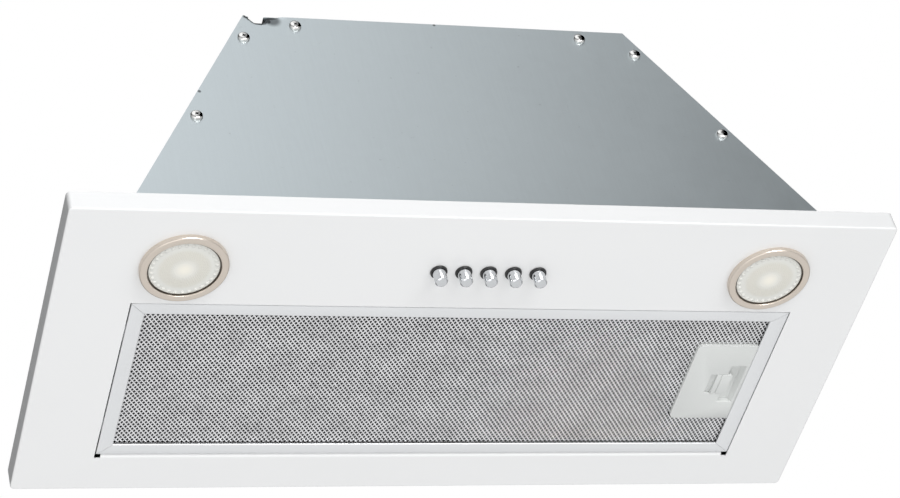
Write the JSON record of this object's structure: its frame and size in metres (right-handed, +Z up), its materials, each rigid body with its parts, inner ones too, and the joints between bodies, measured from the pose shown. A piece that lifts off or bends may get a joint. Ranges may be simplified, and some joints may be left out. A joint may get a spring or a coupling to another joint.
{
  "type": "under cabinet range hood",
  "caption": "Built-in under cabinet hood: flat white panel with lamps, push buttons and a drop-down grease filter under a tapered zinc casing with a radial fan and top duct.",
  "frame": {"origin": "centre of the four fixing holes on the casing's flat top sheet, on its upper face, which is also the middle of the duct outlet", "axes": "+Z up, out of the duct outlet; +X along the panel's length, to the right for someone facing the hood; the front, with lamps and buttons, faces -Y"},
  "size_m": [0.52, 0.245, 0.2348],
  "materials": {
    "white_enamel": "gloss white enamel on steel",
    "zinc_sheet": "galvanised sheet, soft grey with a faint spangle",
    "bright_screws": "bright zinc plated screws",
    "black_plastic": "black moulded plastic",
    "grey_plastic": "grey moulded plastic",
    "fan_plastic": "dark glass filled plastic",
    "steel_pin": "plain ground or drawn steel",
    "motor_shell": "dark painted motor can",
    "capacitor_shell": "white plastic can",
    "terminal_plastic": "ivory terminal strip",
    "black_rubber": "black rubber bush",
    "lead_sleeve": "grey insulating sleeve",
    "chrome_caps": "polished chrome caps",
    "satin_bezel": "satin nickel with a warm tone",
    "cream_lens": "frosted cream lens",
    "lamp_shell": "die cast lamp body",
    "filter_aluminium": "satin aluminium channel",
    "mesh_aluminium": "expanded aluminium mesh",
    "pale_plastic": "pale grey moulded plastic"
  },
  "bodies": {
    "hood": {"button_collars": "black_plastic", "button_springs": "steel_pin", "cable_gland": "black_rubber", "capacitor": "capacitor_shell", "capacitor_clamp": "zinc_sheet", "face_panel": "white_enamel", "flap_pin": "steel_pin", "front_sheet": "zinc_sheet", "front_sheet_screws": "bright_screws", "left_filter_ledge": "zinc_sheet", "left_lamp_bezel": "satin_bezel", "left_lamp_body": "lamp_shell", "left_lamp_clips": "steel_pin", "left_lamp_lens": "cream_lens", "left_side_sheet": "zinc_sheet", "motor_body": "motor_shell", "motor_bracket": "zinc_sheet", "motor_screws": "bright_screws", "outlet_spigot": "black_plastic", "rear_sheet": "zinc_sheet", "rear_sheet_screws": "bright_screws", "right_filter_catch": "zinc_sheet", "right_lamp_bezel": "satin_bezel", "right_lamp_body": "lamp_shell", "right_lamp_clips": "steel_pin", "right_lamp_lens": "cream_lens", "right_side_sheet": "zinc_sheet", "scroll_front_half": "grey_plastic", "scroll_rear_half": "grey_plastic", "scroll_screws": "bright_screws", "spigot_screws": "bright_screws", "switch_housing": "black_plastic", "terminal_block": "terminal_plastic", "terminal_box": "black_plastic", "terminal_box_lid": "black_plastic", "top_sheet": "zinc_sheet", "wiring_leads": "lead_sleeve"},
    "light_button": {"light_button": "chrome_caps"},
    "stop_button": {"stop_button": "chrome_caps"},
    "low_speed_button": {"low_speed_button": "chrome_caps"},
    "medium_speed_button": {"medium_speed_button": "chrome_caps"},
    "high_speed_button": {"high_speed_button": "chrome_caps"},
    "left_flap": {"left_flap": "black_plastic"},
    "right_flap": {"right_flap": "black_plastic"},
    "impeller": {"impeller": "fan_plastic", "motor_shaft": "steel_pin"},
    "filter": {"filter_back_mesh": "mesh_aluminium", "filter_core_mesh": "mesh_aluminium", "filter_face_mesh": "mesh_aluminium", "filter_front_rail": "filter_aluminium", "filter_left_rail": "filter_aluminium", "filter_rear_rail": "filter_aluminium", "filter_right_rail": "filter_aluminium", "latch_plate": "pale_plastic", "latch_spring": "steel_pin"},
    "latch": {"latch_bolt": "pale_plastic"}
  },
  "joints": [
    {"name": "light_press", "type": "slide", "parent": "hood", "child": "light_button", "axis": [0, 0, 1], "range_m": [0, 0.004], "stiffness_N_per_m": 400, "springref_m": -0.002, "deforming": ["button_springs"]},
    {"name": "stop_press", "type": "slide", "parent": "hood", "child": "stop_button", "axis": [0, 0, 1], "range_m": [0, 0.004], "stiffness_N_per_m": 400, "springref_m": -0.002},
    {"name": "low_speed_press", "type": "slide", "parent": "hood", "child": "low_speed_button", "axis": [0, 0, 1], "range_m": [0, 0.004], "stiffness_N_per_m": 400, "springref_m": -0.002},
    {"name": "medium_speed_press", "type": "slide", "parent": "hood", "child": "medium_speed_button", "axis": [0, 0, 1], "range_m": [0, 0.004], "stiffness_N_per_m": 400, "springref_m": -0.002},
    {"name": "high_speed_press", "type": "slide", "parent": "hood", "child": "high_speed_button", "axis": [0, 0, 1], "range_m": [0, 0.004], "stiffness_N_per_m": 400, "springref_m": -0.002},
    {"name": "filter_swing", "type": "hinge", "parent": "hood", "child": "filter", "pos_m": [-0.2116, 0, -0.1862], "axis": [0, 1, 0], "range_deg": [0, 75]},
    {"name": "latch_slide", "type": "slide", "parent": "filter", "child": "latch", "axis": [-1, 0, 0], "range_m": [0, 0.004], "stiffness_N_per_m": 300, "springref_m": -0.003, "deforming": ["latch_spring"]},
    {"name": "impeller_spin", "type": "hinge", "parent": "hood", "child": "impeller", "pos_m": [-0.052, 0, -0.077], "axis": [0, 1, 0], "continuous": true},
    {"name": "left_flap_lift", "type": "hinge", "parent": "hood", "child": "left_flap", "pos_m": [0, 0, 0.0095], "axis": [0, 1, 0], "range_deg": [0, 78]},
    {"name": "right_flap_lift", "type": "hinge", "parent": "hood", "child": "right_flap", "pos_m": [0, 0, 0.0095], "axis": [0, -1, 0], "range_deg": [0, 78]}
  ]
}
